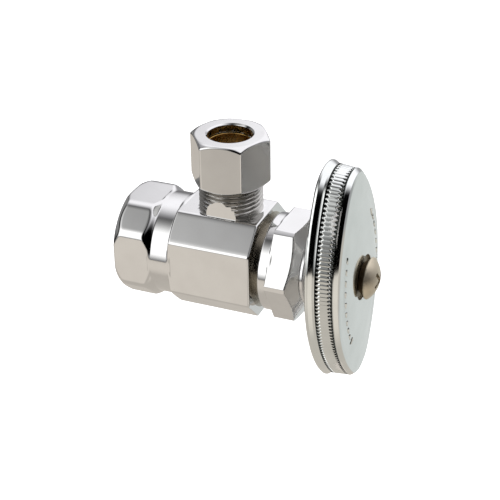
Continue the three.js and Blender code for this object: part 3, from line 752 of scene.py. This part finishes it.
def make_friction_ring():
    """The brass ring under the packing."""
    low, high = ring_low[0], ring_high[0]
    inner, outer = STEM_R + 0.3, (ring_high[1] - ring_low[1]) / 2
    profile = rounded([
        ((low + high) / 2, inner), (low, inner), (low, outer), (high, outer), (high, inner),
        ((low + high) / 2, inner),
    ], 0.12)[:-1]
    return shell("friction_ring_fine", turned_rows(profile, round_angles(144)), ring=True)


def make_packing():
    """The packing ring, cut to a cone where the bonnet nut presses on it."""
    low, high = packing_low[0], packing_high[0]
    inner, outer = STEM_R + 0.3, (packing_high[1] - packing_low[1]) / 2
    profile = rounded([
        ((low + high) / 2, inner), (low, inner), (low, outer), (high - 1, outer),
        (high, outer - 1.6), (high, inner), ((low + high) / 2, inner),
    ], 0.25)[:-1]
    return shell("stem_packing_fine", turned_rows(profile, round_angles(144)), ring=True)


# ---------------------------------------------------------------- stem and washer
def make_stem():
    """The stem: a cup for the washer, a coarse thread, a plain shank and splines."""
    around = round_angles(144)
    low, high = stem_low[0], stem_high[0]
    rows = np.concatenate([
        turned_rows(rounded([
            (low, 1.0), (low, STEM_CUP_R), (low + 1.6, STEM_CUP_R), (low + 2.4, STEM_R + 0.6),
            (STEM_THREAD_X, STEM_R + 0.6),
        ], 0.2), around),
        thread_rows(STEM_THREAD, STEM_THREAD_X, STEM_THREAD_END_X, around, lead=1.0),
        turned_rows(rounded([
            (STEM_THREAD_END_X, STEM_R + 0.9), (STEM_THREAD_END_X + 0.3, STEM_R),
            (STEM_SHOULDER_X, STEM_R), (STEM_SHOULDER_X + 0.6, STEM_R - 0.8),
        ], 0.15), around),
    ])
    stem = shell("stem_fine", rows)
    turn = np.radians(round_angles(SPLINE_TEETH * 8))
    wave = np.clip(1.6 * np.cos(SPLINE_TEETH * (turn - math.radians(HANDLE_TILT))), -1, 1)
    radius = SPLINE_R - SPLINE_DEPTH / 2 + wave * SPLINE_DEPTH / 2
    ridge = np.stack([radius * 0, radius * np.cos(turn), radius * np.sin(turn)], axis=1)
    splines = np.array([
        ridge * (1, scale, scale) + (x, 0, 0)
        for x, scale in ((SPLINE_X, 1), (high - 0.3, 1), (high, 0.92))
    ])
    combine(stem, "UNION", shell("splines", splines))
    handle_hole = [(high - 8, SCREW_HOLE_R), (high + 1, SCREW_HOLE_R)]
    washer_hole = [(low - 1, WASHER_HOLE_R), (low + 4.5, WASHER_HOLE_R)]
    return combine(
        stem, "DIFFERENCE",
        shell("hole", turned_rows(handle_hole, around)),
        shell("hole", turned_rows(washer_hole, around)),
    )


def make_washer():
    """The rubber disc that closes the seat."""
    low, high = washer_low[0], washer_high[0]
    inner, outer = WASHER_HOLE_R, (washer_high[1] - washer_low[1]) / 2
    profile = rounded([
        ((low + high) / 2, inner), (low, inner), (low, outer - 0.3), (low + 0.4, outer),
        (high, outer), (high, inner), ((low + high) / 2, inner),
    ], 0.15)[:-1]
    return shell("seat_washer_fine", turned_rows(profile, round_angles(144)), ring=True)


def make_washer_screw():
    """The slotted screw that holds the disc in the stem's cup."""
    low, high = cup_screw_low[0], cup_screw_high[0]
    around = round_angles(96)
    base = low + 1.3
    screw = shell("seat_washer_screw_fine", turned_rows(rounded([
        (low, 0.4), (low, 1.5), (low + 0.7, 2.4), (base, 2.4), (base, WASHER_SCREW_R),
        (high - 0.5, WASHER_SCREW_R), (high, 0.8), (high, 0.3),
    ], 0.15), around))
    slot = block("slot", (low - 1, -3, -0.35), (low + 0.6, 3, 0.35))
    return combine(screw, "DIFFERENCE", slot)


# ---------------------------------------------------------------- handle
def oval(turns, inset):
    """Points of the handle's outline and its outward normals, evenly spaced round it.

    `turns` runs from 0 to 1 round the oval from +Y. The outline is moved inwards by `inset`.
    """
    reach = HANDLE_HALF_HEIGHT - HANDLE_END_R
    width = HANDLE_HALF_WIDTH
    side_r = (width**2 + reach**2 - HANDLE_END_R**2) / (2 * (width - HANDLE_END_R))
    centre = side_r - width
    joint = math.atan2(reach, centre)
    side_length = side_r * joint
    quarter = side_length + HANDLE_END_R * (math.pi / 2 - joint)
    along = (np.asarray(turns) % 1) * 4 * quarter
    fold = along % (2 * quarter)
    first = np.minimum(fold, 2 * quarter - fold)
    on_side = first < side_length
    angle = np.where(on_side, first / side_r, joint + (first - side_length) / HANDLE_END_R)
    normal_y, normal_z = np.cos(angle), np.sin(angle)
    radius = np.where(on_side, side_r, HANDLE_END_R) - inset
    y = radius * normal_y - np.where(on_side, centre, 0)
    z = radius * normal_z + np.where(on_side, 0, reach)
    mirror_y = np.where(fold > quarter, -1, 1)
    upper = np.where(along < 2 * quarter, 1, -1)
    mirror_y = mirror_y * upper
    return y * mirror_y, z * upper, normal_y * mirror_y, normal_z * upper


def face_point(turns, share):
    """A point of the handle's face: `share` 0 is the front lip and 1 is the screw's recess."""
    y, z, _, _ = oval(turns, FACE_EDGE)
    spin = np.arctan2(z, y)
    rim = SCREW_SEAT_R + 0.4
    x = HANDLE_FRONT_X + 0.3 + (HANDLE_CROWN - 0.3) * (1 - (1 - share) ** 2)
    y = y * (1 - share) + rim * np.cos(spin) * share
    z = z * (1 - share) + rim * np.sin(spin) * share
    return np.stack([x + 0 * y, y, z], axis=-1)


def handle_rows():
    """The handle's skin: hub, hollow back, wall, back lip, knurled band, front lip, face."""
    count = KNURL_TEETH * KNURL_STEPS
    turns = np.arange(count) / count
    y0, z0, ny, nz = oval(turns, 0)
    spin = np.arctan2(z0, y0)
    from_groove = np.abs((turns * KNURL_TEETH) % 1 - 0.5)
    back, front = HANDLE_BACK_X, HANDLE_FRONT_X
    floor = front - HANDLE_WALL
    rows = []

    def circle(radius, x):
        rows.append(np.stack([np.full(count, x), radius * np.cos(spin), radius * np.sin(spin)], 1))

    def ring(inset, x, notch=0.0, line=0.0):
        in_painted_notch_shade = np.clip((0.42 * notch - from_groove) / 0.12 + 0.5, 0, 1)
        in_line = np.clip(1 - from_groove / 0.25, 0, 1)
        inwards = inset + np.maximum(NOTCH_DEPTH * notch * in_painted_notch_shade, line * in_line)
        rows.append(np.stack([np.full(count, x), y0 - ny * inwards, z0 - nz * inwards], 1))

    for x, radius in rounded([(HUB_BACK_X, 2), (HUB_BACK_X, HUB_R), (floor, HUB_R)], 0.5):
        circle(radius, x)
    for x, inset in rounded([
        (floor, HANDLE_WALL + 6), (floor, HANDLE_WALL), (back + 0.3, HANDLE_WALL - 0.4),
        (back, HANDLE_LIP_ROUND + 0.3), (back + 0.1, HANDLE_LIP_ROUND), (HANDLE_LIP_X, 0.0),
        (HANDLE_LIP_END_X, 0.0), (HANDLE_BAND_X - 0.2, HANDLE_BAND_INSET - 0.03),
        (HANDLE_BAND_X + 0.25, HANDLE_BAND_INSET), (HANDLE_BAND_X + 0.3, HANDLE_BAND_INSET),
    ], 0.3, steps=3):
        ring(inset, x)
    band_low, band_high = HANDLE_BAND_X + 0.3, HANDLE_BAND_END_X - 0.2
    shares = np.concatenate([
        np.linspace(0.015, NOTCH_SHARE, 14), np.linspace(0.4, 0.6, 3),
        np.linspace(1 - NOTCH_SHARE, 0.985, 14),
    ])
    for share in shares:
        notch = max(0.0, 1 - min(share, 1 - share) / NOTCH_SHARE)
        x = band_low + (band_high - band_low) * share
        inset = HANDLE_BAND_INSET + (HANDLE_DRAFT - HANDLE_BAND_INSET) * share
        ring(inset, x, notch, KNURL_DEPTH)
    for x, inset in rounded([
        (band_high, HANDLE_DRAFT - 0.05), (HANDLE_BAND_END_X, HANDLE_DRAFT),
        (front - 0.05, HANDLE_DRAFT + HANDLE_FRONT_CHAMFER), (front + 0.2, HANDLE_DRAFT + 1.5),
        (front + 0.3, FACE_EDGE),
    ], 0.3, steps=3):
        ring(inset, x)
    rows += [face_point(turns, share) for share in np.linspace(0, 1, 22)[1:]]
    top = front + HANDLE_CROWN
    for x, radius in rounded([
        (top, SCREW_SEAT_R + 0.5), (top, SCREW_SEAT_R), (SCREW_SEAT_X, SCREW_SEAT_R),
        (SCREW_SEAT_X, 2.0),
    ], 0.25)[1:]:
        circle(radius, x)
    return np.array(rows)


def face_mark(turn, pointed):
    """A raised mark on the face, `turn` of the way round it: a dash, or one with a point."""
    if pointed:
        outline = np.array([(-0.5, -1.0), (0.5, 0.0), (-0.5, 1.0)])
    else:
        outline = np.array([
            (-0.5, -0.3), (-0.4, -0.5), (0.4, -0.5), (0.5, -0.3),
            (0.5, 0.3), (0.4, 0.5), (-0.4, 0.5), (-0.5, 0.3),
        ])
    rows = []
    for rise, size in ((-0.3, 1.0), (0.1, 1.0), (0.2, 0.75)):
        turns = turn + outline[:, 0] * MARK_LENGTH * size
        shares = MARK_PLACE + outline[:, 1] * MARK_WIDTH * size
        rows.append(face_point(turns, shares) + (rise, 0, 0))
    return shell("mark", np.array(rows))


def make_handle():
    """The handle, with its ribs and marks, the splined stem's socket and the screw's hole."""
    handle = shell("handle_fine", handle_rows())
    rib_low, rib_high = HANDLE_BACK_X + 2.6, HANDLE_FRONT_X - 1
    wide, tall, thick = HANDLE_HALF_WIDTH - 1.5, HANDLE_HALF_HEIGHT - 1.5, RIB_HALF_THICKNESS
    marks = []
    for middle in (0.0, 0.5):
        marks += [face_mark(middle + k * MARK_SPACING, k == 5) for k in range(-4, 6)]
    combine(
        handle, "UNION",
        block("rib", (rib_low, -wide, -thick), (rib_high, wide, thick), 0.2),
        block("rib", (rib_low, -thick, -tall), (rib_high, thick, tall), 0.2),
        *marks,
    )
    around = round_angles(96)
    socket_end = stem_high[0] + 0.3
    socket = [(HUB_BACK_X - 1, SPLINE_R + 0.3), (socket_end, SPLINE_R + 0.3)]
    hole = [(HUB_BACK_X + 1, SCREW_HOLE_R), (HANDLE_FRONT_X + 5.6, SCREW_HOLE_R)]
    combine(
        handle, "DIFFERENCE",
        shell("socket", turned_rows(socket, around)),
        shell("hole", turned_rows(hole, around)),
    )
    return turn_about_x(handle, HANDLE_TILT)


def make_handle_screw():
    """The domed screw with a cross recess."""
    low, tip = screw_low[0], screw_high[0]
    seat = SCREW_SEAT_X + 0.3
    edge = tip - SCREW_DOME
    dome_r = (SCREW_HEAD_R**2 + SCREW_DOME**2) / (2 * SCREW_DOME)
    reach = math.asin(SCREW_HEAD_R / dome_r)
    dome = [
        (tip - dome_r + dome_r * math.cos(a), dome_r * math.sin(a))
        for a in np.linspace(reach, 0.03, 16)
    ]
    base = rounded([
        (low, 0.4), (low, 1.1), (low + 0.6, SCREW_SHANK_R), (seat, SCREW_SHANK_R),
        (seat, SCREW_NECK_R),
        (edge - 0.3, SCREW_HEAD_R - 0.1), (edge, SCREW_HEAD_R), dome[1],
    ], 0.25)
    screw = shell("handle_screw_fine", turned_rows(base + dome[2:], round_angles(160)))
    bottom, length, width = tip - CROSS_DEPTH, CROSS_HALF_LENGTH, CROSS_HALF_WIDTH
    cross = [
        block("cross", (bottom, -length, -width), (tip + 1, length, width)),
        block("cross", (bottom, -width, -length), (tip + 1, width, length)),
    ]
    for arm in cross:
        turn_about_x(arm, 30)
    return combine(screw, "DIFFERENCE", *cross)


# ---------------------------------------------------------------- areas of other materials
def in_painted_gap_shade(x, y, z):
    """The neck and the end face behind the bonnet nut's collar: painted shade of the gap."""
    return (x > BLOCK_END_X - 0.1) & (np.hypot(y, z) < 10.9)


def on_boss_thread(x, y, z):
    """The outlet's thread, without the pads."""
    from_axis = np.hypot(x - OUTLET_X, y)
    on_pad = (np.abs(y) > BOSS_PAD_Y - 0.05) & (z < BOSS_PAD_TOP_Z)
    return (z > BODY_HALF_FLATS + 0.05) & (from_axis > 5.9) & (from_axis < 7.3) & ~on_pad


def in_painted_notch_shade(x, y, z):
    """The notches at the ends of the knurl's grooves: painted shade."""
    outline_y, outline_z, out_y, out_z = oval(np.linspace(0, 1, 721)[:-1], 0)
    around = np.arctan2(outline_z, outline_y)
    reach = outline_y * out_y + outline_z * out_z
    spin = np.arctan2(z, y) - math.radians(HANDLE_TILT)
    edge = np.interp(spin, around, np.hypot(outline_y, outline_z), period=2 * math.pi)
    lean = np.interp(spin, around, reach, period=2 * math.pi) / edge
    along = (x - HANDLE_BAND_X) / (HANDLE_BAND_END_X - HANDLE_BAND_X)
    band = HANDLE_BAND_INSET + (HANDLE_DRAFT - HANDLE_BAND_INSET) * along
    depth = (edge - np.hypot(y, z)) * lean - band
    return (depth > 0.2) & (depth < NOTCH_DEPTH + 0.1) & (0 < along) & (along < 1)


def in_painted_recess_shade(x, y, z):
    """The floor and the wall of the recess round the handle screw: painted shade."""
    along = x - SCREW_SEAT_X
    return (np.hypot(y, z) < SCREW_SEAT_R + 0.05) & (along > -0.1) & (along < 0.5)


def under_head_painted_shade(x, y, z):
    """The underside of the handle screw's head, in the recess: painted shade."""
    return (np.hypot(y, z) > SCREW_SHANK_R + 0.1) & (x < screw_high[0] - SCREW_DOME - 0.25)


def in_hollow_painted_light(x, y, z):
    """The handle's unpolished back inside the rim, its colour lightened as painted light in the
    shaded hollow.
    """
    turn = math.radians(HANDLE_TILT)
    across = y * math.cos(turn) + z * math.sin(turn)
    up = z * math.cos(turn) - y * math.sin(turn)
    inside = (across / (HANDLE_HALF_WIDTH - 1.6)) ** 2 + (up / (HANDLE_HALF_HEIGHT - 1.6)) ** 2 < 1
    return inside & (x < HANDLE_FRONT_X - 0.5)


# ---------------------------------------------------------------- the pieces
finish_piece(
    make_body(), "body", "valve_body", POLISHED,
    [(PAINTED_GAP_SHADE, in_painted_gap_shade), (THREADED, on_boss_thread)],
)
finish_piece(make_nut(), "nut", "outlet_nut", POLISHED)
finish_piece(make_sleeve(), "ferrule_carrier", "ferrule", BRASS)
finish_piece(make_bonnet(), "body", "bonnet_nut", POLISHED)
finish_piece(make_friction_ring(), "body", "friction_ring", BRASS)
finish_piece(make_packing(), "body", "stem_packing", GRAPHITE)
finish_piece(make_stem(), "stem_and_handle", "stem", BRASS)
finish_piece(make_washer(), "washer_carrier", "seat_washer", RUBBER)
finish_piece(make_washer_screw(), "stem_and_handle", "seat_washer_screw", BRASS)
finish_piece(
    make_handle(), "stem_and_handle", "handle", CAST,
    [(SATIN_PAINTED_LIGHT, in_hollow_painted_light), (PAINTED_RECESS_SHADE, in_painted_recess_shade), (PAINTED_NOTCH_SHADE, in_painted_notch_shade)],
)
finish_piece(
    make_handle_screw(), "stem_and_handle", "handle_screw", NICKEL,
    [(PAINTED_RECESS_SHADE, under_head_painted_shade)],
)


# ---------------------------------------------------------------- floor, light and camera
FLOOR_Z = -60.0
FLOOR_HALF = 3000


def make_floor():
    """A plain floor that only the camera sees: what the metal mirrors comes from the studio."""
    corners = [(x * FLOOR_HALF, y * FLOOR_HALF, FLOOR_Z) for x, y in (
        (-1, -1), (1, -1), (1, 1), (-1, 1),
    )]
    floor = mesh_object("floor", corners, [[0, 1, 2, 3]])
    material, _, _, shader = new_material("floor")
    shader.inputs["Base Color"].default_value = (0.9, 0.9, 0.9, 1)
    shader.inputs["Roughness"].default_value = 0.9
    shader.inputs["Emission Color"].default_value = (1, 1, 1, 1)
    shader.inputs["Emission Strength"].default_value = 0.75
    floor.data.materials.append(material)
    floor.visible_glossy = False
    floor.visible_diffuse = False
    floor.visible_shadow = False


class Graph:
    """Short calls that add nodes to a tree and return their output sockets."""

    def __init__(self, tree):
        self.tree = tree

    def feed(self, socket, value):
        """Links an output to a socket, or sets the socket to a constant."""
        if isinstance(value, bpy.types.NodeSocket):
            self.tree.links.new(value, socket)
        else:
            socket.default_value = value

    def math(self, operation, *values):
        node = self.tree.nodes.new("ShaderNodeMath")
        node.operation = operation
        for socket, value in zip(node.inputs, values):
            self.feed(socket, value)
        return node.outputs[0]

    def dot(self, vector, direction):
        node = self.tree.nodes.new("ShaderNodeVectorMath")
        node.operation = "DOT_PRODUCT"
        self.feed(node.inputs[0], vector)
        self.feed(node.inputs[1], direction)
        return node.outputs["Value"]

    def step(self, value, start, stop, low=0.0, high=1.0):
        """A smooth step from `low` at `start` to `high` at `stop`."""
        node = self.tree.nodes.new("ShaderNodeMapRange")
        node.interpolation_type = "SMOOTHSTEP"
        for name, number in (
            ("From Min", start), ("From Max", stop), ("To Min", low), ("To Max", high),
        ):
            node.inputs[name].default_value = number
        self.feed(node.inputs["Value"], value)
        return node.outputs["Result"]

    def product(self, first, *others):
        for other in others:
            first = self.math("MULTIPLY", first, other)
        return first

    def tint(self, value, colour):
        node = self.tree.nodes.new("ShaderNodeVectorMath")
        node.operation = "SCALE"
        node.inputs[0].default_value = colour
        self.feed(node.inputs["Scale"], value)
        return node.outputs[0]

    def lightest(self, first, *others):
        for other in others:
            node = self.tree.nodes.new("ShaderNodeVectorMath")
            node.operation = "MAXIMUM"
            self.feed(node.inputs[0], first)
            self.feed(node.inputs[1], other)
            first = node.outputs[0]
        return first


def direction(azimuth, elevation):
    """A unit direction: azimuth 0 is -Y and 90 is +X."""
    a, e = math.radians(azimuth), math.radians(elevation)
    return (math.sin(a) * math.cos(e), -math.cos(a) * math.cos(e), math.sin(e))


def make_world():
    """A studio of soft boxes in front and behind, a pale table below and dark sides."""
    world = bpy.data.worlds.new("studio")
    world.use_nodes = True
    tree = world.node_tree
    graph = Graph(tree)
    toward = tree.nodes.new("ShaderNodeTexCoord").outputs["Generated"]
    height = graph.dot(toward, (0, 0, 1))
    forward = graph.dot(toward, direction(-24, 0))
    aside = graph.dot(toward, direction(66, 0))
    sideways = graph.math("ABSOLUTE", aside)

    # The big soft box in front, dimmer to the right and dark overhead
    box = graph.product(
        graph.step(height, -0.42, -0.02),
        graph.step(height, 0.53, 0.95, 1.0, 0.04),
        graph.step(aside, -0.7, -0.35),
        graph.step(aside, 0.06, 0.37, 1.0, 0.0),
        graph.step(forward, 0.0, 0.3),
        1.7,
    )
    # A cooler soft box behind
    back = graph.product(
        graph.step(forward, 0.5, -0.2, 0.0, 1.0),
        graph.step(height, 0.0, 0.4, 0.3, 1.0),
        graph.step(sideways, 0.6, 0.9, 1.0, 0.0),
        1.35,
    )
    # A faint glow on the left
    left = graph.product(
        graph.step(aside, -0.75, -0.92), graph.step(height, -0.3, 0.0), 0.3,
    )
    # The table, brighter to the front left and to the right
    warm = graph.step(graph.dot(toward, direction(-34, -30)), 0.92, 1.0, 0.0, 0.22)
    right = graph.step(graph.dot(toward, direction(60, -32)), 0.8, 0.97, 0.0, 0.26)
    table = graph.product(
        graph.math("ADD", 0.62, graph.math("ADD", warm, right)),
        graph.step(height, -0.365, -0.315, 1.0, 0.0),
    )
    # The light that the handle's face mirrors
    facing = graph.step(graph.dot(toward, direction(157, -29)), 0.75, 0.95, 0.0, 0.74)
    light = graph.lightest(
        graph.tint(box, (1, 1, 1)),
        graph.tint(back, (0.97, 0.965, 1.0)),
        graph.tint(left, (1, 1, 1)),
        graph.tint(table, (1.0, 0.93, 0.84)),
        graph.tint(facing, (0.965, 1.0, 0.985)),
    )
    background = tree.nodes["Background"]
    tree.links.new(light, background.inputs["Color"])
    background.inputs["Strength"].default_value = 1.0
    bpy.context.scene.world = world
    bpy.context.scene.view_settings.view_transform = "Standard"


def make_camera():
    """A long lens from the front right, looking down on the valve."""
    camera = bpy.data.objects.new("camera", bpy.data.cameras.new("camera"))
    bpy.context.scene.collection.objects.link(camera)
    place = Vector((131.581, -243.311, 148.773)) * MM
    right = Vector((0.923747, 0.382760, -0.013660))
    up = Vector((-0.175494, 0.454695, 0.873186))
    back = Vector((0.340432, -0.804206, 0.487195))
    turn = Matrix((right, up, back)).transposed().to_4x4()
    camera.matrix_world = Matrix.Translation(place) @ turn
    camera.data.sensor_width = 36
    camera.data.lens = 96.69
    camera.data.clip_start = 0.01
    camera.data.clip_end = 20
    bpy.context.scene.camera = camera


make_floor()
make_world()
make_camera()
